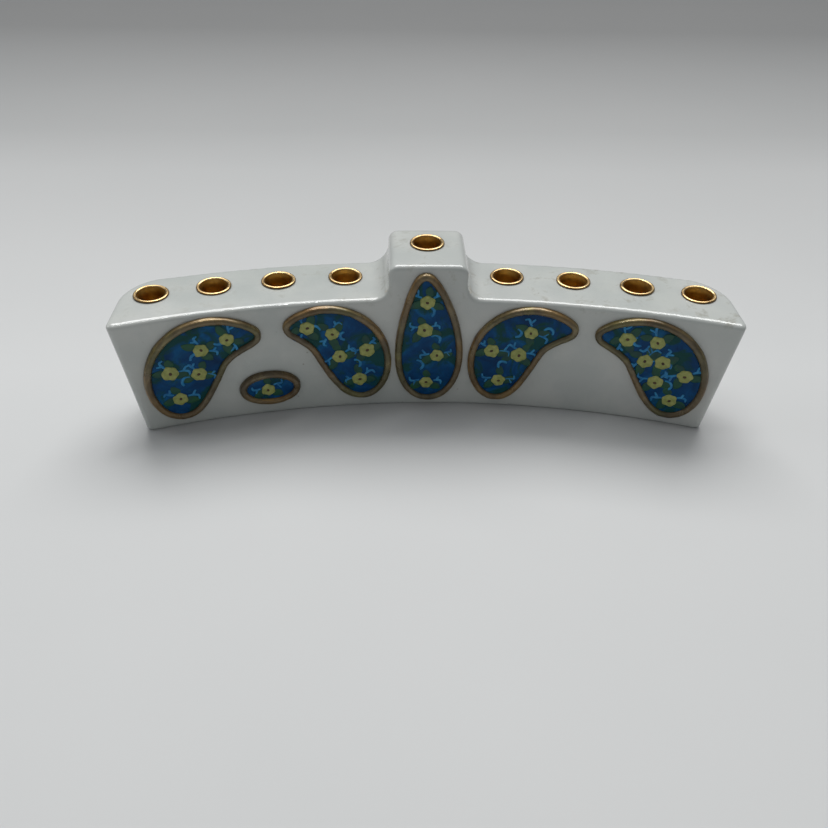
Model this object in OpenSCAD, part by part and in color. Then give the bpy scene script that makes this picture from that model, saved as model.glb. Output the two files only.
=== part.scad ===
// Nine-cup menorah: a curved ceramic bar with a raised middle block,
// brass candle cups set into its top, and enamelled reliefs on its hollow front face.
// Origin: middle of the foot, on the surface it stands on. +X along the bar, +Y to the rear, +Z up.

/* [Ceramic bar] */
// Radius of the hollow front face, seen from above
face_r = 374; // [330:1:450]
// Thickness of the bar from front to rear
bar_t = 34; // [31:0.5:36]
// Height of the long shoulders
bar_h = 53.5; // [53:0.5:58]
// Length across the top of the shoulders
top_len = 252; // [250:1:260]
// Length across the foot
foot_len = 239; // [232:1:245]
// Radius of the two upright rear corners
rear_corner_r = 14.5; // [10:0.5:16]
// Thickness of the cast wall
wall_t = 4.5; // [3.5:0.5:5]

/* [Middle block] */
// Width of the raised block
block_w = 32.5; // [28:0.5:36]
// Height of the block above the shoulders
block_rise = 15; // [12:0.5:20]
// Radius of the block's two top corners
block_corner_r = 4; // [2:0.5:6]
// Radius of the hollow where the block meets a shoulder
shoulder_r = 7; // [4:0.5:8]

/* [Candle cups] */
// Inner radius of a cup
bore_r = 5.3; // [5:0.1:5.5]
// Depth of a cup from its lip to its floor
bore_depth = 15; // [10:0.5:16]
// Thickness of the sleeve wall
sleeve_t = 0.5; // [0.4:0.1:0.6]
// Thickness of the cup's floor
floor_t = 0.8; // [0.6:0.1:1.2]
// Outer radius of the flange
flange_r = 7.25; // [7:0.05:7.6]
// Thickness of the flange
flange_t = 0.7; // [0.6:0.1:1.2]
// Radius of the bead rolled along the flange's edge
bead_r = 0.45; // [0.4:0.05:0.8]
// Free play between a sleeve and its hole, on the radius
cup_play = 0.15; // [0.1:0.05:0.3]
// Distance of the row of cups behind the front face
cup_line = 20.5; // [19:0.5:21]
// Arc length from the middle cup to the first cup beside it
first_gap = 34.5; // [33:0.5:36]
// Arc length between the first and second side cups
next_gap = 28.2; // [27:0.2:28.6]
// Amount by which each further gap is shorter
gap_step = 1.5; // [1.2:0.1:2]

/* [Reliefs] */
// Height of the enamel above the front face
enamel_h = 1.4; // [1:0.1:2]
// Height of the rims above the front face
rim_h = 2.6; // [2:0.1:3]
// Width of a rim
rim_w = 3.2; // [2.5:0.1:3.6]
// Radius that rounds a relief's tip
tip_r = 5; // [4:0.5:5.5]

/* [Hidden] */
$fn = 96;
CUPS_A_SIDE = 4;
SLACK = 1;                          // how far a cutting tool runs past what it cuts
OUTLINE_STEPS = 12;                 // spans along each side of a relief's outline

rear_r = face_r + bar_t;
block_h = bar_h + block_rise;
cup_r = face_r + cup_line;
sleeve_r = bore_r + sleeve_t;
hole_r = sleeve_r + cup_play;
tallest = block_h + SLACK;

// The bar's two ends reach furthest forward and its middle reaches furthest back.
end_front_y = sqrt(pow(face_r, 2) - pow(top_len / 2, 2)) - face_r;
middle_y = (end_front_y + bar_t) / 2;

// Centre of a rear corner's arc, which touches both the rear face and the end.
corner_x = top_len / 2 - rear_corner_r;
corner_y = sqrt(pow(rear_r - rear_corner_r, 2) - pow(corner_x, 2)) - face_r;

// Each relief's spine as [round end, bend, tip], and half its width. An oval has no bend or tip.
left_paisley = [[-103, 9], [-104, 44], [-73, 41], 12];
left_leaf = [[-28, 10], [-28, 43], [-55, 43], 12];
flame = [[0.5, 8], [2, 32], [-1, 61], 11.2];
right_leaf = [[31, 9], [29, 44], [58, 42], 11.5];
right_paisley = [[104, 9], [104, 43.5], [74, 41], 12];
oval_at = [-67, 14];
oval_size = [26, 17];

// ---- placing -------------------------------------------------------------------------------

// Moves from the middle of the front face to the part's own origin.
module placed() {
  translate([0, -middle_y, 0]) children();
}

// Arc length from the middle of the bar to side cup k.
function cup_arc(k) = first_gap + (k - 1) * next_gap - gap_step * (k - 1) * (k - 2) / 2;

// Angle of cup k about the centre of the bar's curve: negative on the left, 0 in the middle.
function cup_angle(k) = k == 0 ? 0 : sign(k) * cup_arc(abs(k)) / cup_r * 180 / PI;

function cup_seat(k) = [
  cup_r * sin(cup_angle(k)),
  cup_r * cos(cup_angle(k)) - face_r,
  k == 0 ? block_h : bar_h
];

// ---- ceramic bar ---------------------------------------------------------------------------

// A curved band between two radii, as tall as the part.
module band(inner, outer, height) {
  translate([0, -face_r, 0]) difference() {
    cylinder(r = outer, h = height);
    translate([0, 0, -SLACK]) cylinder(r = inner, h = height + 2 * SLACK);
  }
}

// Stands a drawing of the front view up and extrudes it through the bar.
module through_bar() {
  depth = 2 * bar_t + 2 * abs(end_front_y);
  translate([0, depth / 2, 0]) rotate([90, 0, 0]) linear_extrude(depth) children();
}

// The quarter-round hollow between the block and the right shoulder.
module shoulder_fillet(half_w, height) {
  translate([half_w - SLACK, height - SLACK]) difference() {
    square(shoulder_r + SLACK);
    translate([shoulder_r + SLACK, shoulder_r + SLACK]) circle(r = shoulder_r);
  }
}

// Front view of the bar, drawn in from its outline by inset everywhere but at the foot.
module front_view(inset) {
  half_top = top_len / 2 - inset;
  half_foot = foot_len / 2 - inset;
  half_block = block_w / 2 - inset;
  shoulder = bar_h - inset;
  top = block_h - inset;
  round_r = max(block_corner_r - inset, 0.5);
  polygon([
    [-half_foot, 0], [half_foot, 0], [half_top, shoulder], [-half_top, shoulder]
  ]);
  translate([-half_block, shoulder - SLACK]) square([2 * half_block, top - round_r - shoulder + SLACK]);
  translate([round_r - half_block, shoulder]) square([2 * (half_block - round_r), top - shoulder]);
  for (side = [-1, 1])
    translate([side * (half_block - round_r), top - round_r]) circle(r = round_r);
  if (inset == 0)
    for (side = [0, 1])
      mirror([side, 0]) shoulder_fillet(half_block, shoulder);
}

// What is cut from the right rear corner to leave it round.
module rear_corner_waste(inset) {
  centre = [corner_x, corner_y];
  from_axis = centre + [0, face_r];
  past_rear = from_axis * (rear_r + rear_corner_r) / norm(from_axis) - [0, face_r];
  far = [top_len, past_rear[1]];
  translate([0, 0, -SLACK]) linear_extrude(tallest + SLACK) difference() {
    polygon([centre, past_rear, far, [top_len, corner_y]]);
    translate(centre) circle(r = rear_corner_r - inset);
  }
}

// The bar's shape, drawn in by inset. The cast shell is one of these less a smaller one.
module bar_shape(inset) {
  difference() {
    intersection() {
      band(face_r + inset, rear_r - inset, tallest);
      through_bar() front_view(inset);
    }
    for (side = [0, 1])
      mirror([side, 0, 0]) rear_corner_waste(inset);
  }
}

module ceramic_body() {
  color("whitesmoke") placed() difference() {
    bar_shape(0);
    bar_shape(wall_t);
    for (k = [-CUPS_A_SIDE:CUPS_A_SIDE])
      translate(cup_seat(k) - [0, 0, 2 * wall_t])
        cylinder(r = hole_r, h = 3 * wall_t);
  }
}

// ---- candle cups ---------------------------------------------------------------------------

// Half section of a cup, standing on the plane that its flange rests on.
module cup_section() {
  sleeve_floor = flange_t - bore_depth - floor_t;
  translate([0, sleeve_floor]) square([sleeve_r, floor_t]);
  translate([bore_r, sleeve_floor]) square([sleeve_t, -sleeve_floor + flange_t]);
  translate([bore_r, 0]) square([flange_r - bead_r - bore_r, flange_t]);
  translate([flange_r - bead_r, bead_r]) circle(r = bead_r, $fn = 32);
}

module cup(k) {
  color("goldenrod") placed() translate(cup_seat(k)) rotate_extrude() cup_section();
}

// ---- reliefs -------------------------------------------------------------------------------

// A point at u along a spine that bends towards its middle point.
function on_spine(s, u) = pow(1 - u, 2) * s[0] + 2 * u * (1 - u) * s[1] + pow(u, 2) * s[2];
function along_spine(s, u) = 2 * (1 - u) * (s[1] - s[0]) + 2 * u * (s[2] - s[1]);
function across_spine(s, u) = let (d = along_spine(s, u)) [-d[1], d[0]] / norm(d);

// Half width at u: round where the spine starts, widest near its middle, and narrow at the tip.
function half_width(s, u) = s[3] * 2.1 * sqrt(u) * pow(1 - u, 0.85);

// Steps that crowd together at a spine's round end, where the outline turns fastest.
function step_at(i) = pow(i / OUTLINE_STEPS, 2);
function side_points(s, side, from, to, by) = [
  for (i = [from:by:to])
    let (u = step_at(i)) on_spine(s, u) + side * half_width(s, u) * across_spine(s, u)
];

// A leaf-shaped core: its outline is this, grown by tip_r.
module leaf_core(spine) {
  polygon(concat(
    side_points(spine, 1, 0, OUTLINE_STEPS, 1),
    side_points(spine, -1, OUTLINE_STEPS - 1, 1, -1)
  ));
}

module leaf_outline(spine, grow) {
  offset(r = grow, $fn = 24) leaf_core(spine);
}

module oval_outline(shrink) {
  steps = 2 * OUTLINE_STEPS;
  half = oval_size / 2 - [shrink, shrink];
  translate(oval_at) polygon([
    for (i = [0:steps - 1]) [half[0] * cos(360 * i / steps), half[1] * sin(360 * i / steps)]
  ]);
}

// Lays a drawing of the front view on the front face, standing proud of it.
module on_face(proud) {
  placed() intersection() {
    band(face_r - proud, face_r, tallest);
    through_bar() children();
  }
}

module leaf_rim(spine) {
  color("darkgoldenrod") on_face(rim_h) difference() {
    leaf_outline(spine, tip_r);
    leaf_outline(spine, tip_r - rim_w);
  }
}

module leaf_enamel(spine) {
  color("royalblue") on_face(enamel_h) leaf_outline(spine, tip_r - rim_w);
}

module oval_rim() {
  color("darkgoldenrod") on_face(rim_h) difference() {
    oval_outline(0);
    oval_outline(rim_w);
  }
}

module oval_enamel() {
  color("royalblue") on_face(enamel_h) oval_outline(rim_w);
}

// ---- the part ------------------------------------------------------------------------------

ceramic_body();
cup(0);  // shamash_cup
for (k = [1:CUPS_A_SIDE]) {
  cup(-k);
  cup(k);
}
leaf_rim(left_paisley);  // left_paisley_rim
oval_rim();  // left_oval_rim
leaf_rim(left_leaf);  // left_leaf_rim
leaf_rim(flame);  // flame_rim
leaf_rim(right_leaf);  // right_leaf_rim
leaf_rim(right_paisley);  // right_paisley_rim
leaf_enamel(left_paisley);  // left_paisley_enamel
oval_enamel();  // left_oval_enamel
leaf_enamel(left_leaf);  // left_leaf_enamel
leaf_enamel(flame);  // flame_enamel
leaf_enamel(right_leaf);  // right_leaf_enamel
leaf_enamel(right_paisley);  // right_paisley_enamel
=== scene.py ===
"""The curved ceramic menorah: a glazed bar, brass candle cups and enamelled reliefs."""
import math

import bmesh
import bpy
import numpy as np
from mathutils import Matrix, Vector, noise


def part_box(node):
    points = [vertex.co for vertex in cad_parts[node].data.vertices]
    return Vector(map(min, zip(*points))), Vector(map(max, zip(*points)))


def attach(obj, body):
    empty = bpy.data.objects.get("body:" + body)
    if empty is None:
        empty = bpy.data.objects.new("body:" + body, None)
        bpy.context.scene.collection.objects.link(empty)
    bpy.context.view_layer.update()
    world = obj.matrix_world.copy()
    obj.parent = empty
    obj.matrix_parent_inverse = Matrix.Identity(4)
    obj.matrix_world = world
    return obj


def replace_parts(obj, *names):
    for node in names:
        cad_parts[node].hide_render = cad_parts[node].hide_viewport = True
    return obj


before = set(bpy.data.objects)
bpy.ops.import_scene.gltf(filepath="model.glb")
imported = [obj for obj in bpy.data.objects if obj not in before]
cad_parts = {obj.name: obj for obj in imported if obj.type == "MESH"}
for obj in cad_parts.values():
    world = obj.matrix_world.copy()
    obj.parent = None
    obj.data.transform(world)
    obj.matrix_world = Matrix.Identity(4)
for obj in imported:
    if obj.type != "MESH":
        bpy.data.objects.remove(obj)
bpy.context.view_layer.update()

MM = 0.001

# ---- driving dimensions, in millimetres, as on the CAD model ---------------------------------

FACE_R = 374.0            # radius of the hollow front face, seen from above
BLOCK_W = 32.5            # width of the raised middle block
BLOCK_CORNER_R = 4.0      # the block's two top corners
FOOT_LEN = 239.0          # length across the foot
REAR_CORNER_R = 14.5      # the two upright rear corners
WALL_T = 4.5              # thickness of the cast wall
HOLE_R = 5.95             # holes that the cups' sleeves hang in
BORE_R = 5.3              # inside of a cup
MOUTH_R = 5.85            # its flared mouth
SLEEVE_R = 5.8            # outside of a cup's sleeve
RIM_W = 3.2               # width of a relief's rim
RIM_H = 2.6               # height of a rim above the front face
ENAMEL_H = 1.4            # height of the enamel above the front face
TIP_R = 5.0               # how far a relief's outline stands off its core

# Each relief's spine as (round end, bend, tip), and half its width: the same as the CAD's.
SPINES = {
    "left_paisley": ((-103, 9), (-104, 44), (-73, 41), 12.0),
    "left_leaf": ((-28, 10), (-28, 43), (-55, 43), 12.0),
    "flame": ((0.5, 8), (2, 32), (-1, 61), 11.2),
    "right_leaf": ((31, 9), (29, 44), (58, 42), 11.5),
    "right_paisley": ((104, 9), (104, 43.5), (74, 41), 12.0),
}
OVAL_AT, OVAL_SIZE = (-67.0, 14.0), (26.0, 17.0)

ROOT = "bar"
CUPS = ["shamash_cup"] + [f"{side}_cup_{k}" for side in ("left", "right") for k in (1, 2, 3, 4)]

low, high = (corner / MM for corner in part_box("ceramic_body"))
TOP_LEN = high.x - low.x
BLOCK_H = high.z - low.z
BAR_DEPTH = high.y - low.y
# The ends reach furthest forward: that fixes where the front face's middle lies.
END_FRONT = math.sqrt(FACE_R ** 2 - (TOP_LEN / 2) ** 2) - FACE_R
FACE_Y = low.y - END_FRONT
BAR_T = BAR_DEPTH + END_FRONT
AXIS_Y = FACE_Y - FACE_R


def cup_seat(name):
    """Centre of the plane that a cup's flange rests on."""
    lo, hi = (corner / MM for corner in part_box(name))
    top = BLOCK_H if name == "shamash_cup" else BAR_H
    return Vector(((lo.x + hi.x) / 2, (lo.y + hi.y) / 2, top))


cup_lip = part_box("shamash_cup")[1].z / MM - BLOCK_H          # flange bead above its seat
BAR_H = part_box("left_cup_1")[1].z / MM - cup_lip
SEATS = {name: cup_seat(name) for name in CUPS}
FLANGE_R = (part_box("shamash_cup")[1].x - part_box("shamash_cup")[0].x) / 2 / MM
CUP_DEPTH = BLOCK_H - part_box("shamash_cup")[0].z / MM         # sleeve below its seat

# ---- small helpers ---------------------------------------------------------------------------


def add_mesh(name, verts, faces, materials, slots=None):
    """A mesh object from vertices in millimetres."""
    mesh = bpy.data.meshes.new(name)
    mesh.from_pydata([tuple(c * MM for c in v) for v in verts], [], faces)
    for material in materials:
        mesh.materials.append(material)
    if slots is not None:
        mesh.polygons.foreach_set("material_index", slots)
    mesh.polygons.foreach_set("use_smooth", [True] * len(mesh.polygons))
    mesh.update()
    obj = bpy.data.objects.new(name, mesh)
    bpy.context.scene.collection.objects.link(obj)
    return obj


def fix_normals(obj):
    bm = bmesh.new()
    bm.from_mesh(obj.data)
    bmesh.ops.recalc_face_normals(bm, faces=bm.faces)
    bm.to_mesh(obj.data)
    bm.free()


def on_face(x, z, height):
    """The point at (x, z) of the front view, standing height in front of the face."""
    turn = math.asin(x / FACE_R)
    reach = FACE_R - height
    return (reach * math.sin(turn), AXIS_Y + reach * math.cos(turn), z)


# ---- materials -------------------------------------------------------------------------------


class Nodes:
    """A material's node tree, with one call for each node that is added and wired."""

    def __init__(self, name):
        self.material = bpy.data.materials.new(name)
        self.material.use_nodes = True
        self.tree = self.material.node_tree
        self.shader = self.tree.nodes["Principled BSDF"]
        self.place = self.tree.nodes.new("ShaderNodeTexCoord").outputs["Object"]

    def wire(self, source, target):
        self.tree.links.new(source, target)

    def noise(self, scale, detail=4.0, rough=0.55, distortion=0.0):
        node = self.tree.nodes.new("ShaderNodeTexNoise")
        node.inputs["Scale"].default_value = scale
        node.inputs["Detail"].default_value = detail
        node.inputs["Roughness"].default_value = rough
        node.inputs["Distortion"].default_value = distortion
        self.wire(self.place, node.inputs["Vector"])
        return node.outputs["Fac"]

    def across(self, axis, start, end):
        """0 at start and 1 at end along an axis, in metres."""
        split = self.tree.nodes.new("ShaderNodeSeparateXYZ")
        self.wire(self.place, split.inputs[0])
        node = self.tree.nodes.new("ShaderNodeMapRange")
        node.inputs["From Min"].default_value = start
        node.inputs["From Max"].default_value = end
        self.wire(split.outputs[axis], node.inputs["Value"])
        return node.outputs[0]

    def cells(self, scale):
        node = self.tree.nodes.new("ShaderNodeTexVoronoi")
        node.inputs["Scale"].default_value = scale
        self.wire(self.place, node.inputs["Vector"])
        return node.outputs["Distance"], node.outputs["Color"]

    def ramp(self, value, stops):
        """stops: (position, colour) pairs, where a colour may be one number for a grey."""
        node = self.tree.nodes.new("ShaderNodeValToRGB")
        ramp = node.color_ramp
        while len(ramp.elements) < len(stops):
            ramp.elements.new(0.5)
        for element, (position, colour) in zip(ramp.elements, stops):
            element.position = position
            if isinstance(colour, (int, float)):
                colour = (colour,) * 3
            element.color = (*colour, 1.0)
        self.wire(value, node.inputs["Fac"])
        return node.outputs["Color"]

    def mix(self, factor, a, b, blend="MIX"):
        """Mixes two colours or sockets. factor is a number or a socket."""
        node = self.tree.nodes.new("ShaderNodeMix")
        node.data_type = "RGBA"
        node.blend_type = blend
        for socket, value in ((node.inputs[0], factor), (node.inputs[6], a), (node.inputs[7], b)):
            if isinstance(value, (int, float)):
                socket.default_value = value
            elif isinstance(value, tuple):
                socket.default_value = (*value, 1.0)
            else:
                self.wire(value, socket)
        return node.outputs[2]

    def math(self, operation, a, b):
        node = self.tree.nodes.new("ShaderNodeMath")
        node.operation = operation
        for socket, value in zip(node.inputs, (a, b)):
            if isinstance(value, (int, float)):
                socket.default_value = value
            else:
                self.wire(value, socket)
        return node.outputs[0]

    def bump(self, height, strength, distance):
        node = self.tree.nodes.new("ShaderNodeBump")
        node.inputs["Strength"].default_value = strength
        node.inputs["Distance"].default_value = distance
        self.wire(height, node.inputs["Height"])
        self.wire(node.outputs["Normal"], self.shader.inputs["Normal"])

    def finish(self, colour, roughness, **settings):
        self.wire(colour, self.shader.inputs["Base Color"])
        if isinstance(roughness, (int, float)):
            self.shader.inputs["Roughness"].default_value = roughness
        else:
            self.wire(roughness, self.shader.inputs["Roughness"])
        for name, value in settings.items():
            self.shader.inputs[name.replace("_", " ")].default_value = value
        return self.material


def white_glaze():
    n = Nodes("white_glaze")
    tone = n.ramp(n.noise(14, 3), [(0.35, (0.452, 0.472, 0.445)), (0.65, (0.520, 0.528, 0.503))])
    pooled = n.ramp(n.noise(60, 5), [(0.42, (0.93, 0.94, 0.95)), (0.6, (1.0, 1.0, 1.0))])
    colour = n.mix(1.0, tone, pooled, "MULTIPLY")
    distance, cell = n.cells(210)
    speck = n.ramp(distance, [(0.05, 1.0), (0.11, 0.0)])
    rare = n.ramp(cell, [(0.72, 0.0), (0.77, 1.0)])
    speck = n.mix(1.0, speck, rare, "MULTIPLY")
    colour = n.mix(n.math("MULTIPLY", speck, 0.55), colour, (0.16, 0.13, 0.10))
    smudge = n.ramp(n.noise(120, 6, 0.72, 0.2), [(0.55, 0.0), (0.66, 1.0)])
    rightward = n.ramp(n.across("X", -0.08, 0.06), [(0.0, 0.22), (1.0, 0.55)])
    handled = n.math("MULTIPLY", n.across("Z", 0.049, 0.0535), rightward)
    smudge = n.math("MULTIPLY", smudge, handled)
    colour = n.mix(smudge, colour, (0.26, 0.25, 0.20))
    rough = n.ramp(n.noise(45, 2), [(0.32, 0.09), (0.70, 0.25)])
    orange_peel = n.mix(0.35, n.noise(150, 4, 0.6), n.noise(520, 3, 0.6))
    n.bump(orange_peel, 0.35, 0.0006)
    return n.finish(colour, rough, IOR=1.5, Coat_Weight=0.5, Coat_Roughness=0.03)


def bisque():
    n = Nodes("bisque_inside")
    colour = n.ramp(n.noise(50, 6), [(0.3, (0.52, 0.50, 0.46)), (0.7, (0.64, 0.62, 0.58))])
    n.bump(n.noise(500, 4), 0.35, 0.0004)
    return n.finish(colour, 0.85)


def brass(name, bright, dull, rough_low, rough_high):
    n = Nodes(name)
    tarnish = n.ramp(n.noise(160, 6, 0.65, 0.6), [(0.38, 0.0), (0.72, 1.0)])
    colour = n.mix(tarnish, bright, dull)
    rough = n.ramp(n.noise(260, 4), [(0.3, rough_low), (0.7, rough_high)])
    n.bump(n.noise(900, 3), 0.10, 0.0002)
    return n.finish(colour, rough, Metallic=1.0)


def gold_lustre(name, dark, middle, light):
    """Fired gold over brown: its tone streaks along the coil, and drifts from ochre to olive."""
    n = Nodes(name)
    streak = n.ramp(n.noise(70, 6, 0.65, 1.2), [(0.30, dark), (0.50, middle), (0.72, light)])
    drift = n.ramp(n.noise(38, 3, 0.5, 0.4), [
        (0.36, (0.86, 1.00, 0.62)), (0.50, (1.0, 1.0, 1.0)), (0.62, (1.18, 0.95, 0.62))])
    streak = n.mix(1.0, streak, drift, "MULTIPLY")
    worn = n.ramp(n.noise(230, 5, 0.7), [(0.60, 0.0), (0.72, 1.0)])
    colour = n.mix(n.math("MULTIPLY", worn, 0.5), streak, (0.10, 0.075, 0.05))
    rough = n.ramp(n.noise(150, 4), [(0.3, 0.22), (0.7, 0.42)])
    n.bump(n.noise(320, 5), 0.25, 0.0005)
    return n.finish(colour, rough, Metallic=0.35, Coat_Weight=0.2, Coat_Roughness=0.08)


def blue_enamel():
    n = Nodes("blue_enamel")
    wash = n.ramp(n.noise(95, 5, 0.6, 0.8), [
        (0.32, (0.0015, 0.028, 0.090)), (0.50, (0.0015, 0.052, 0.160)), (0.68, (0.004, 0.100, 0.250))])
    green = n.ramp(n.noise(90, 4, 0.6, 0.6), [(0.49, 0.0), (0.57, 1.0)])
    colour = n.mix(n.math("MULTIPLY", green, 0.85), wash, (0.006, 0.052, 0.030))
    rough = n.ramp(n.noise(110, 3), [(0.3, 0.10), (0.7, 0.20)])
    n.bump(n.noise(210, 3), 0.12, 0.0004)
    return n.finish(colour, rough, IOR=1.45, Specular_IOR_Level=0.14)


def paint(name, dark, light, scale=420):
    n = Nodes(name)
    colour = n.ramp(n.noise(scale, 4, 0.6), [(0.32, dark), (0.68, light)])
    n.bump(n.noise(scale * 2, 3), 0.2, 0.0002)
    return n.finish(colour, 0.3, Specular_IOR_Level=0.3)


def floor_paper():
    """Pale paper that falls into shade well behind the object."""
    n = Nodes("floor_paper")
    colour = n.ramp(n.noise(3, 4), [(0.3, (0.545, 0.55, 0.547)), (0.7, (0.575, 0.577, 0.573))])
    shade = n.ramp(n.across("Y", 0.0, 1.0), [
        (0.02, 1.0), (0.18, 0.82), (0.26, 0.74), (0.34, 0.60), (0.65, 0.30), (1.0, 0.25)])
    return n.finish(n.mix(1.0, colour, shade, "MULTIPLY"), 0.75)


GLAZE, BISQUE = white_glaze(), bisque()
BRASS = brass("brass", (0.74, 0.53, 0.26), (0.40, 0.25, 0.11), 0.18, 0.38)
BRASS_INSIDE = brass("brass_inside", (0.71, 0.485, 0.155), (0.37, 0.215, 0.06), 0.28, 0.46)
# Dark brass for the outer underside of the rolled lip and the sleeve: painted shade under the flange,
# over the brass's own tarnish mottling.
BRASS_PAINTED_SHADE = brass("brass_painted_shade", (0.36, 0.22, 0.09), (0.14, 0.08, 0.035), 0.30, 0.50)
LUSTRE = gold_lustre(
    "gold_lustre", (0.055, 0.040, 0.020), (0.115, 0.088, 0.048), (0.21, 0.165, 0.085))
LUSTRE_THIN = gold_lustre(
    "gold_lustre_thin", (0.10, 0.062, 0.025), (0.20, 0.135, 0.060), (0.30, 0.225, 0.10))
ENAMEL = blue_enamel()
YELLOW = paint("flower_yellow", (0.22, 0.25, 0.065), (0.38, 0.39, 0.13), 600)
CENTRE = paint("flower_centre", (0.035, 0.018, 0.010), (0.09, 0.045, 0.02))
LEAF = paint("leaf_green", (0.003, 0.040, 0.040), (0.010, 0.080, 0.030), 260)
SPRIG = paint("sprig_blue", (0.006, 0.12, 0.31), (0.035, 0.26, 0.50), 350)

# ---- ceramic bar -----------------------------------------------------------------------------

VOXEL = 1.15              # size of the mesh that the bar's surface is laid on
FRONT_EDGE_R = 1.7        # rounding of the long front edge
REAR_EDGE_R = 1.8
FRONT_SHOULDER_R = 6.0    # hollow where the block meets a shoulder, at the front and at the rear
REAR_SHOULDER_R = 9.5
FRONT_END_R = 3.5         # rounding of the two upright front corners
FOOT_EDGE_R = 1.2
HOLLOW_EDGE_R = 0.8       # where the hollow and the cups' holes meet the outside
BARE_FOOT = 0.15          # height up to which the foot is wiped free of glaze
GLAZE_WAVE = 0.16         # how far the hand-finished surface wanders


def round_max(a, b, r):
    """Where both a and b hold, with the edge between them rounded."""
    u, v = np.maximum(r + a, 0), np.maximum(r + b, 0)
    return np.minimum(-r, np.maximum(a, b)) + np.hypot(u, v)


def round_min(a, b, r):
    """Where either a or b holds, with the hollow between them rounded."""
    u, v = np.maximum(r - a, 0), np.maximum(r - b, 0)
    return np.maximum(r, np.minimum(a, b)) - np.hypot(u, v)


def waves(p):
    """A slow wandering from 0 to 1, as of a surface sponged smooth by hand."""
    x, y, z = p.T
    total = np.sin(x * 0.093 + 1.7) * np.sin(z * 0.15 + y * 0.11 + 0.4)
    total += np.sin(x * 0.041 + y * 0.21 + 2.2) * np.cos(z * 0.083 + 0.9)
    total += 0.5 * np.sin(x * 0.21 + z * 0.27) * np.cos(y * 0.19 + 1.1)
    return 0.5 + total / 5.0


def bar_shapes(p):
    """Signed distances to the bar's outer shape and to the hollow in it, in millimetres."""
    x, y, z = np.abs(p[:, 0]), p[:, 1] - AXIS_Y, p[:, 2]
    r = np.hypot(x, y)
    front, rear = FACE_R - r, r - (FACE_R + BAR_T)
    flare = (TOP_LEN - FOOT_LEN) / 2 / BAR_H
    end = (x - FOOT_LEN / 2 - flare * z) / math.hypot(1, flare)
    back = np.clip((r - FACE_R) / BAR_T, 0, 1)
    shoulder_r = FRONT_SHOULDER_R + (REAR_SHOULDER_R - FRONT_SHOULDER_R) * back
    edge_r = FRONT_EDGE_R + (REAR_EDGE_R - FRONT_EDGE_R) * back
    block = round_max(x - BLOCK_W / 2, z - BLOCK_H, BLOCK_CORNER_R)
    top = round_min(z - BAR_H, block, shoulder_r)
    skin = GLAZE_WAVE * waves(p)
    outer = round_max(rear, end, REAR_CORNER_R)
    outer = round_max(outer, front, FRONT_END_R)
    outer = round_max(outer, top, edge_r) + skin
    outer = round_max(outer, -z, FOOT_EDGE_R)
    inner = round_max(round_max(rear, end, REAR_CORNER_R - WALL_T), front, FRONT_END_R)
    inner = round_max(inner, top, edge_r) + WALL_T
    return outer, inner


def bar_distance(p):
    """Signed distance to the ceramic's surface: below 0 inside the clay."""
    outer, inner = bar_shapes(p)
    body = round_max(outer, -inner, HOLLOW_EDGE_R)
    for seat in SEATS.values():
        hole = np.hypot(p[:, 0] - seat.x, p[:, 1] - seat.y) - HOLE_R
        body = round_max(body, -hole, HOLLOW_EDGE_R)
    return body


def settle(points, steps=4):
    """Moves points onto the ceramic's surface."""
    tiny = 0.02
    for _ in range(steps):
        d = bar_distance(points)
        slope = np.empty_like(points)
        for axis in range(3):
            off = np.zeros(3)
            off[axis] = tiny
            slope[:, axis] = (bar_distance(points + off) - bar_distance(points - off)) / (2 * tiny)
        steep = np.maximum((slope ** 2).sum(1), 0.25)
        points = points - (d / steep)[:, None] * slope
    return points


def relax(mesh, points, rounds=3):
    """Evens out the spacing of a mesh's points and puts them back on the surface."""
    edges = np.array([e.vertices[:] for e in mesh.edges])
    count = np.bincount(edges.ravel(), minlength=len(points)).astype(float)[:, None]
    for _ in range(rounds):
        total = np.zeros_like(points)
        np.add.at(total, edges[:, 0], points[edges[:, 1]])
        np.add.at(total, edges[:, 1], points[edges[:, 0]])
        points = settle(points + 0.5 * (total / count - points), 2)
    return points


def make_bar():
    """The glazed body: the CAD shell remeshed evenly, with soft edges and a hand-finished skin."""
    rough = bpy.data.objects.new("rough_bar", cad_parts["ceramic_body"].data.copy())
    bpy.context.scene.collection.objects.link(rough)
    remesh = rough.modifiers.new("Remesh", "REMESH")
    remesh.mode = "VOXEL"
    remesh.voxel_size = VOXEL * MM
    remeshed = rough.evaluated_get(bpy.context.evaluated_depsgraph_get())
    even = remeshed.to_mesh()
    mesh = bpy.data.meshes.new("glazed_bar")
    points = np.array([v.co[:] for v in even.vertices]) / MM
    mesh.from_pydata(points * MM, [], [p.vertices[:] for p in even.polygons])
    remeshed.to_mesh_clear()
    bpy.data.objects.remove(rough)
    points = settle(points)
    points = relax(mesh, points)
    points[:, 2] = np.maximum(points[:, 2], 0.0)
    mesh.vertices.foreach_set("co", (points * MM).ravel())
    mesh.materials.append(GLAZE)
    mesh.materials.append(BISQUE)
    centres = np.array([points[list(p.vertices)].mean(0) for p in mesh.polygons])
    outer, inner = bar_shapes(centres)
    bare = (np.abs(inner) < np.abs(outer)) | (centres[:, 2] < BARE_FOOT)
    mesh.polygons.foreach_set("material_index", bare.astype(int))
    mesh.polygons.foreach_set("use_smooth", [True] * len(mesh.polygons))
    mesh.update()
    bar = bpy.data.objects.new("glazed_bar", mesh)
    bpy.context.scene.collection.objects.link(bar)
    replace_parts(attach(bar, ROOT), "ceramic_body")


# ---- candle cups -----------------------------------------------------------------------------

TURNS = 72                # steps round a cup


def arc(centre, radius, start, end, steps):
    """Points of a circular arc in a half section, with angles in degrees."""
    return [
        (centre[0] + radius * math.cos(a), centre[1] + radius * math.sin(a))
        for a in np.radians(np.linspace(start, end, steps))
    ]


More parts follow.
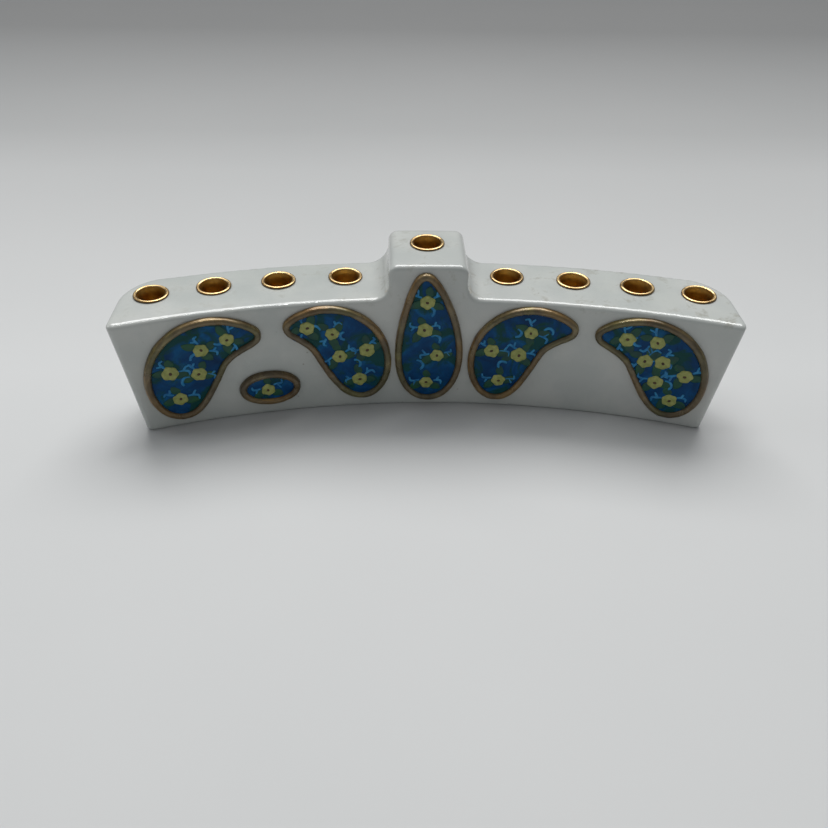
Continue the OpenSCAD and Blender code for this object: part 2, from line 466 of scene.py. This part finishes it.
def cup_profile():
    """Half section of a cup from the middle of its floor, over the rolled lip, to its underside.
    Gives (radius, height above the seat) pairs, and how many line the inside and then the crest."""
    floor = -CUP_DEPTH + 0.8
    lip = 0.88 * cup_lip
    roll = (FLANGE_R - MOUTH_R) / 2
    inside = [(0.0, floor)]
    inside += arc((BORE_R - 0.8, floor + 0.8), 0.8, -90, 0, 6)
    inside += [(BORE_R, z) for z in np.linspace(floor + 2, -3.0, 6)]
    inside += [(BORE_R + (MOUTH_R - BORE_R) * t ** 2, -3.0 + 3.1 * t) for t in np.linspace(0.15, 1, 7)]
    crest = [
        (MOUTH_R + roll + roll * math.cos(a), lip * (0.34 + 0.66 * math.sin(a)))
        for a in np.radians(np.linspace(165, 0, 14))
    ]
    under = [(FLANGE_R - 0.10, 0.08), (FLANGE_R - 0.5, 0.0), (SLEEVE_R + 0.3, 0.0), (SLEEVE_R, -0.3)]
    sleeve = [(SLEEVE_R, z) for z in np.linspace(-1.0, -CUP_DEPTH + 0.6, 6)]
    sleeve += arc((SLEEVE_R - 0.6, -CUP_DEPTH + 0.6), 0.6, 0, -90, 5) + [(0.0, -CUP_DEPTH)]
    return inside + crest + under + sleeve, len(inside), len(inside) + 8


def make_cup(name, number):
    """A turned brass insert with a slightly uneven lip, set a little out of level by hand."""
    seat = SEATS[name]
    profile, lined, crested = cup_profile()
    leans_to, lean = 2.4 * number + 0.6, 0.011
    verts, faces, slots = [], [], []
    rings = profile[1:-1]
    for r, z in rings:
        for i in range(TURNS):
            a = 2 * math.pi * i / TURNS
            dent = 1 - 0.010 * (0.5 + 0.5 * math.sin(3 * a + number) * math.cos(2 * a + 2.1 * number))
            reach = r * dent if r > BORE_R and z > -0.2 else r
            lift = lean * reach * math.cos(a - leans_to) if z > 0 else 0
            verts.append((seat.x + reach * math.cos(a), seat.y + reach * math.sin(a), seat.z + z + lift))
    for k in range(len(rings) - 1):
        for i in range(TURNS):
            j = (i + 1) % TURNS
            faces.append((k * TURNS + i, k * TURNS + j, (k + 1) * TURNS + j, (k + 1) * TURNS + i))
            # Slots: inside, then the crest, then dark brass as painted shade from the outer side of the
            # lip down the sleeve.
            slots.append(1 if k < lined - 1 else 0 if k < crested else 2)
    for (r, z), ring, slot, flip in ((profile[0], 0, 1, True), (profile[-1], len(rings) - 1, 0, False)):
        verts.append((seat.x, seat.y, seat.z + z))
        for i in range(TURNS):
            j = (i + 1) % TURNS
            a, b = ring * TURNS + i, ring * TURNS + j
            faces.append((len(verts) - 1, b, a) if flip else (len(verts) - 1, a, b))
            slots.append(slot)
    cup = add_mesh(f"brass_{name}", verts, faces, [BRASS, BRASS_INSIDE, BRASS_PAINTED_SHADE], slots=slots)
    fix_normals(cup)
    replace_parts(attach(cup, name), name)


# ---- reliefs ---------------------------------------------------------------------------------

SIDE_STEPS = 36           # points along each side of a relief's outline
TIP_STEPS = 8             # points round its tip
BURIED = 0.6              # how far a relief is bedded into the glaze
THIN_FACES = 3            # faces of a rim's section, from the enamel side, where the gold is thin


def on_spine(spine, u):
    a, b, c = (np.array(p, float) for p in spine[:3])
    return (1 - u) ** 2 * a + 2 * u * (1 - u) * b + u ** 2 * c


def across_spine(spine, u):
    a, b, c = (np.array(p, float) for p in spine[:3])
    d = 2 * (1 - u) * (b - a) + 2 * u * (c - b)
    return np.array((-d[1], d[0])) / np.linalg.norm(d)


def half_width(spine, u):
    return spine[3] * 2.1 * math.sqrt(u) * (1 - u) ** 0.85


def leaf_ring(spine, grow, share=1.0):
    """A closed ring of (x, z) points: the leaf's core, narrowed to a share of its width and then
    grown by an amount all round, with a rounded tip."""
    us = [(i / SIDE_STEPS) ** 1.6 for i in range(1, SIDE_STEPS)]
    us = [u for u in us if u < 0.985]

    def edge(u, side):
        return on_spine(spine, u) + side * share * half_width(spine, u) * across_spine(spine, u)

    def outward(u, side):
        step = 0.002
        d = edge(min(u + step, 1), side) - edge(max(u - step, 0), side)
        return side * np.array((-d[1], d[0])) / max(np.linalg.norm(d), 1e-9)

    start, tip = on_spine(spine, 0), on_spine(spine, 1)
    back = -(on_spine(spine, 0.02) - start)
    back = back / np.linalg.norm(back)
    up = [edge(u, 1) + grow * outward(u, 1) for u in us]
    down = [edge(u, -1) + grow * outward(u, -1) for u in reversed(us)]
    n1, n2 = outward(us[-1], 1), outward(us[-1], -1)
    a1, a2 = math.atan2(n1[1], n1[0]), math.atan2(n2[1], n2[0])
    while a2 > a1:
        a2 -= 2 * math.pi
    cap = [
        tip + grow * np.array((math.cos(a), math.sin(a)))
        for a in np.linspace(a1, a2, TIP_STEPS + 2)
    ]
    return np.array([start + grow * back] + up + cap + down)


def oval_ring(grow, share=1.0):
    """The oval's core is its middle line: growing it gives the ellipse that the CAD has."""
    steps = 2 * SIDE_STEPS
    half = np.array(OVAL_SIZE) / 2 - TIP_R
    at = np.linspace(0, 2 * np.pi, steps, endpoint=False)
    return np.array(OVAL_AT) + np.stack([
        (half[0] * share + grow) * np.cos(at), (half[1] * share + grow) * np.sin(at)], 1)


def even_ring(ring, spacing):
    """The same closed ring with evenly spaced points, lightly smoothed."""
    loop = np.vstack([ring, ring[:1]])
    run = np.concatenate([[0], np.cumsum(np.linalg.norm(np.diff(loop, axis=0), axis=1))])
    count = max(int(run[-1] / spacing), 12)
    at = np.linspace(0, run[-1], count, endpoint=False)
    even = np.stack([np.interp(at, run, loop[:, i]) for i in (0, 1)], 1)
    for _ in range(3):
        even = 0.5 * even + 0.25 * (np.roll(even, 1, 0) + np.roll(even, -1, 0))
    return even


def enamel_height(share):
    """Height of the enamel where a ring is this share of the way from the middle to the rim."""
    return ENAMEL_H * (0.98 - 0.22 * share ** 3)


def make_rim(name, ring_at):
    """A raised clay outline: a rounded coil with a hand-pressed wobble, gilded."""
    middle = even_ring(ring_at(TIP_R - RIM_W / 2), 0.9)
    count = len(middle)
    along = np.roll(middle, -1, 0) - np.roll(middle, 1, 0)
    out = np.stack([along[:, 1], -along[:, 0]], 1)
    out /= np.linalg.norm(out, axis=1)[:, None]
    section = [(math.cos(a), math.sin(a)) for a in np.radians(np.linspace(180, 0, 13))]
    verts, faces, slots = [], [], []
    for i, (point, side) in enumerate(zip(middle, out)):
        wobble = noise.noise(Vector((point[0] * 0.16, point[1] * 0.16, 3.1)))
        ripple = noise.noise(Vector((point[0] * 0.55, point[1] * 0.55, 8.4)))
        half = RIM_W / 2 * (0.98 + 0.10 * wobble - 0.02)
        tall = RIM_H * (0.90 + 0.09 * ripple)
        for c, s in section:
            x, z = point + side * half * math.copysign(abs(c) ** 0.8, c)
            verts.append(on_face(x, z, tall * s ** 0.75))
        for c in (1, -1):
            x, z = point + side * half * c
            verts.append(on_face(x, z, -BURIED))
    ring = len(section) + 2
    for i in range(count):
        j = (i + 1) % count
        for k in range(ring):
            m = (k + 1) % ring
            faces.append((i * ring + k, i * ring + m, j * ring + m, j * ring + k))
            drift = noise.noise(Vector((middle[i][0] * 0.12, middle[i][1] * 0.12, 5.7)))
            slots.append(1 if k < THIN_FACES + round(1.5 * drift) else 0)
    rim = add_mesh(f"{name}_coil", verts, faces, [LUSTRE, LUSTRE_THIN], slots=slots)
    fix_normals(rim)
    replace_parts(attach(rim, ROOT), f"{name}_rim")


def make_enamel(name, ring_at):
    """A pool of enamel that fills a rim: slightly domed, and closed behind."""
    reach = TIP_R - RIM_W + 0.5
    rings = [(ring_at(reach * s), 1 - 0.35 * (1 - s)) for s in (1.0, 0.66, 0.33, 0.0)]
    rings += [(ring_at(0.0, s), 0.65 * s) for s in (0.85, 0.7, 0.55, 0.4, 0.25, 0.1)]
    count = len(rings[0][0])
    verts, faces = [], []
    for ring, share in rings:
        verts += [on_face(x, z, enamel_height(share)) for x, z in ring]
    verts += [on_face(x, z, -BURIED) for x, z in rings[0][0]]
    for k in range(len(rings) - 1):
        for i in range(count):
            j = (i + 1) % count
            faces.append((k * count + i, k * count + j, (k + 1) * count + j, (k + 1) * count + i))
    back = len(rings) * count
    for i in range(count):
        j = (i + 1) % count
        faces.append((back + i, back + j, j, i))
    faces.append(tuple(range(back, back + count)))
    faces.append(tuple((len(rings) - 1) * count + i for i in reversed(range(count))))
    pool = add_mesh(f"{name}_pool", verts, faces, [ENAMEL])
    bm = bmesh.new()
    bm.from_mesh(pool.data)
    bmesh.ops.remove_doubles(bm, verts=bm.verts, dist=0.02 * MM)
    bmesh.ops.triangulate(bm, faces=[f for f in bm.faces if len(f.verts) > 4])
    bmesh.ops.recalc_face_normals(bm, faces=bm.faces)
    bm.to_mesh(pool.data)
    bm.free()
    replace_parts(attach(pool, ROOT), f"{name}_enamel")


# ---- what is painted on the enamel -----------------------------------------------------------

FLOWER_R = 3.35           # radius of a flower
PAINT_T = 0.22            # thickness of the raised paint
PAINT_BED = 0.25          # how far paint is bedded into the enamel
PETALS = 6
ON_FLOWER, ON_EYE, ON_LEAF, ON_SPRIG = range(4)   # material slots of a painting


class Painting:
    """Collects raised strokes of paint on one relief, then makes them one piece."""

    def __init__(self):
        self.verts, self.faces, self.slots = [], [], []

    def blob(self, outline, centre, base, thick, slot):
        """A closed, softly domed patch with this outline round its centre."""
        count = len(outline)
        first = len(self.verts)
        levels = ((1.0, -PAINT_BED), (1.0, 0.35 * thick), (0.86, 0.85 * thick), (0.5, thick))
        for share, height in levels:
            for point in outline:
                x, z = centre + share * (point - centre)
                self.verts.append(on_face(x, z, base + height))
        self.verts.append(on_face(*centre, base + thick))
        self.verts.append(on_face(*centre, base - PAINT_BED))
        for k in range(len(levels) - 1):
            for i in range(count):
                j = (i + 1) % count
                a, b = first + k * count, first + (k + 1) * count
                self.faces.append((a + i, a + j, b + j, b + i))
                self.slots.append(slot)
        top, under = len(self.verts) - 2, len(self.verts) - 1
        for i in range(count):
            j = (i + 1) % count
            last = first + (len(levels) - 1) * count
            self.faces += [(last + i, last + j, top), (first + j, first + i, under)]
            self.slots += [slot, slot]

    def flower(self, centre, base, rng):
        turn, size = rng.uniform(0, 2 * math.pi), FLOWER_R * rng.uniform(0.9, 1.08)
        at = np.linspace(0, 2 * np.pi, 40, endpoint=False)
        reach = size * (0.93 + 0.055 * np.cos(PETALS * (at - turn)) + 0.025 * np.sin(3 * at + turn))
        reach += 0.03 * size * np.sin(4 * at + 2.3 * turn)
        outline = centre + np.stack([reach * np.cos(at), reach * np.sin(at)], 1)
        self.blob(outline, centre, base, PAINT_T * 1.3, ON_FLOWER)
        eye = centre + rng.uniform(-0.25, 0.25, 2)
        at = np.linspace(0, 2 * np.pi, 14, endpoint=False)
        reach = 0.20 * size * (1 + 0.12 * np.cos(2 * at + turn))
        outline = eye + np.stack([reach * np.cos(at), reach * np.sin(at)], 1)
        self.blob(outline, eye, base + 1.35 * PAINT_T, PAINT_T * 0.6, ON_EYE)

    def leaf(self, root, angle, length, width, base):
        along = np.array((math.cos(angle), math.sin(angle)))
        across = np.array((-along[1], along[0]))
        us = np.linspace(0, 1, 9)
        wide = width * np.sin(np.pi * us ** 0.8) ** 0.7 / 2
        bend = 0.16 * length * np.sin(np.pi * us / 2) ** 2
        spine = root + np.outer(us * length, along) + np.outer(bend, across)
        outline = np.vstack([spine + np.outer(wide, across), (spine - np.outer(wide, across))[-2:0:-1]])
        self.blob(outline, spine[4], base, PAINT_T * 0.55, ON_LEAF)

    def stroke(self, points, width, base):
        """One light-blue brush stroke through these points, thinning to its end."""
        points = np.array(points)
        t = np.linspace(0, 1, len(points))
        fine = np.linspace(0, 1, 13)
        line = np.stack([np.interp(fine, t, points[:, i]) for i in (0, 1)], 1)
        for _ in range(3):
            line[1:-1] = 0.5 * line[1:-1] + 0.25 * (line[:-2] + line[2:])
        along = np.gradient(line, axis=0)
        across = np.stack([-along[:, 1], along[:, 0]], 1)
        across /= np.linalg.norm(across, axis=1)[:, None]
        wide = (width / 2 * (0.45 + 0.55 * np.sin(np.pi * (0.15 + 0.75 * fine))))[:, None]
        first = len(self.verts)
        heights = (-PAINT_BED, 0.3 * PAINT_T, 0.75 * PAINT_T, 0.3 * PAINT_T, -PAINT_BED)
        for left, mid, right in zip(line + across * wide, line, line - across * wide):
            for (x, z), height in zip((left, left, mid, right, right), heights):
                self.verts.append(on_face(x, z, base + height))
        ring, count = len(heights), len(line)
        for i in range(count - 1):
            for k in range(ring):
                m = (k + 1) % ring
                a, b = first + i * ring, first + (i + 1) * ring
                self.faces.append((a + k, b + k, b + m, a + m))
                self.slots.append(ON_SPRIG)
        for end in (first, first + (count - 1) * ring):
            self.faces.append(tuple(end + k for k in range(ring)))
            self.slots.append(ON_SPRIG)

    def sprig(self, root, angle, base, rng):
        """A stem with a hooked end and a side shoot."""
        def reach(turn, length):
            return np.array((math.cos(angle + turn), math.sin(angle + turn))) * length
        hook = rng.choice((-1, 1))
        size = rng.uniform(1.0, 1.5)
        tip = root + reach(0, 3.0 * size)
        stem = [root, root + reach(0.15, 1.5 * size), tip, tip + reach(hook * 1.6, 1.5 * size)]
        self.stroke(stem, 1.1, base)
        self.stroke([root + reach(0, 1.2 * size), root + reach(-hook * 0.7, 2.8 * size)], 1.0, base)

    def hook(self, start, angle, length, bend, base):
        """A free, curling stroke."""
        turns = angle + np.linspace(0, bend, 5)
        steps = length / 5 * np.stack([np.cos(turns), np.sin(turns)], 1)
        points = np.vstack([start, start + np.cumsum(steps, axis=0)])
        self.stroke(points, 1.3, base)

    def finish(self, name):
        paints = [YELLOW, CENTRE, LEAF, SPRIG]
        piece = add_mesh(f"{name}_painting", self.verts, self.faces, paints, slots=self.slots)
        fix_normals(piece)
        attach(piece, ROOT)


def paint_relief(name, places, seed, hooks=()):
    """Flowers at these places, with leaves and sprigs between them, and free hooks in the gaps.
    A place is (centre, direction)."""
    rng = np.random.default_rng(seed)
    painting = Painting()
    base = enamel_height(0.3)
    for start, heading in hooks:
        hand = rng.choice((-1, 1))
        angle = heading - hand * rng.uniform(0.5, 0.9)
        painting.hook(start, angle, rng.uniform(6.0, 7.5), hand * rng.uniform(2.2, 2.9), base)
    for centre, heading in places:
        for side in (-1, 1):
            back = heading + side * 1.9
            root = centre + 1.6 * np.array((math.cos(back), math.sin(back)))
            painting.leaf(root, heading + side * rng.uniform(1.3, 2.4), rng.uniform(5.2, 6.6), 3.9, base)
        ahead = heading + rng.uniform(-0.35, 0.35)
        root = centre + 2.6 * np.array((math.cos(ahead), math.sin(ahead)))
        painting.leaf(root, ahead + rng.uniform(-0.5, 0.5), rng.uniform(4.0, 5.5), 3.6, base)
        for side in (-1, 1):
            turn = heading + side * rng.uniform(0.7, 1.3)
            root = centre + 3.3 * np.array((math.cos(turn), math.sin(turn)))
            painting.sprig(root, turn + side * rng.uniform(0.1, 0.6), base, rng)
        painting.flower(centre, base, rng)
    painting.finish(name)


def spine_places(spine, stations):
    """Flower places at (share of the spine, share of the half width) stations."""
    places = []
    for u, v in stations:
        centre = on_spine(spine, u) + v * half_width(spine, u) * across_spine(spine, u)
        side = across_spine(spine, u)
        places.append((centre, math.atan2(side[1], side[0]) - math.pi / 2))
    return places


# Where the flowers sit on each relief: along its spine, and out to either side of it.
STATIONS = {
    "left_paisley": ((0.09, 0.1), (0.30, 0.52), (0.34, -0.56), (0.60, 0.0), (0.84, 0.0)),
    "left_leaf": ((0.09, 0.1), (0.33, -0.58), (0.38, 0.55), (0.66, 0.0), (0.90, 0.0)),
    "flame": ((0.10, 0.1), (0.38, -0.35), (0.62, 0.2), (0.86, 0.0)),
    "right_leaf": ((0.09, -0.1), (0.33, 0.58), (0.40, -0.55), (0.70, 0.0)),
    "right_paisley": (
        (0.07, 0.0), (0.24, 0.60), (0.27, -0.60), (0.44, 0.05), (0.56, 0.62), (0.63, -0.45), (0.85, 0.0)),
}

# Where the free hooks start, in the same way.
HOOKS = {
    "left_paisley": ((0.20, -0.1), (0.46, 0.0), (0.73, 0.0)),
    "left_leaf": ((0.20, 0.0), (0.52, -0.1), (0.78, 0.0)),
    "flame": ((0.24, 0.4), (0.50, -0.45), (0.74, -0.2)),
    "right_leaf": ((0.20, 0.0), (0.55, 0.2), (0.82, 0.0)),
    "right_paisley": ((0.16, 0.1), (0.36, -0.1), (0.72, 0.1)),
}


def make_reliefs():
    for seed, (name, spine) in enumerate(SPINES.items()):
        def ring_at(grow, share=1.0, spine=spine):
            return leaf_ring(spine, grow, share)
        make_rim(name, ring_at)
        make_enamel(name, ring_at)
        flowers, hooks = (spine_places(spine, where[name]) for where in (STATIONS, HOOKS))
        paint_relief(name, flowers, 11 + seed, hooks)
    make_rim("left_oval", oval_ring)
    make_enamel("left_oval", oval_ring)
    middle = np.array(OVAL_AT) - (1.0, 0.4)
    paint_relief("left_oval", [(middle, math.pi / 2)], 31)


# ---- stage, light and camera -----------------------------------------------------------------


def make_stage():
    """A plain pale floor."""
    half, steps = 3000.0, 12
    line = np.linspace(-half, half, steps + 1)
    verts = [(x, y, 0.0) for y in line for x in line]
    row = steps + 1
    faces = [
        (j * row + i, j * row + i + 1, (j + 1) * row + i + 1, (j + 1) * row + i)
        for j in range(steps) for i in range(steps)
    ]
    add_mesh("floor", verts, faces, [floor_paper()])


def area_light(name, at, target, size, power, colour=(1, 1, 1)):
    light = bpy.data.lights.new(name, "AREA")
    light.shape = "RECTANGLE"
    light.size, light.size_y = size
    light.energy = power
    light.color = colour
    lamp = bpy.data.objects.new(name, light)
    lamp.location = at
    lamp.rotation_euler = (Vector(target) - Vector(at)).to_track_quat("-Z", "Y").to_euler()
    bpy.context.scene.collection.objects.link(lamp)


def make_lights():
    world = bpy.data.worlds.new("studio")
    world.use_nodes = True
    world.node_tree.nodes["Background"].inputs["Color"].default_value = (0.93, 0.97, 1.0, 1.0)
    world.node_tree.nodes["Background"].inputs["Strength"].default_value = 0.28
    bpy.context.scene.world = world
    area_light("overhead", (0.15, 1.60, 2.50), (0, -0.05, 0), (2.8, 1.6), 80)
    area_light("tube", (-0.15, 0.15, 1.0), (0, 0, 0.05), (0.5, 0.025), 1.7)
    area_light("window", (-1.3, 0.3, 0.9), (0, 0, 0.03), (0.8, 0.8), 2.4, (0.95, 0.98, 1.0))


def make_camera():
    """The photograph's view: looking down at about 38 degrees from in front."""
    pitch, yaw, roll = math.radians(38.28), math.radians(2.26), math.radians(1.22)
    forward = Vector((math.sin(yaw) * math.cos(pitch), math.cos(yaw) * math.cos(pitch), -math.sin(pitch)))
    right = Vector((math.cos(yaw), -math.sin(yaw), 0))
    up = right.cross(forward)
    right, up = (
        math.cos(roll) * right + math.sin(roll) * up,
        -math.sin(roll) * right + math.cos(roll) * up,
    )
    camera = bpy.data.cameras.new("camera")
    camera.sensor_width, camera.lens = 36.0, 36.04
    camera.clip_start = 0.01
    eye = bpy.data.objects.new("camera", camera)
    turn = Matrix((right, up, -forward)).transposed().to_4x4()
    eye.matrix_world = Matrix.Translation((-0.0164, -0.3005, 0.2266)) @ turn
    bpy.context.scene.collection.objects.link(eye)
    bpy.context.scene.camera = eye


make_camera()
make_stage()
make_lights()
make_bar()
for number, cup_name in enumerate(CUPS):
    make_cup(cup_name, number)
make_reliefs()
bpy.context.scene.view_settings.view_transform = "Standard"

bpy.context.view_layer.update()
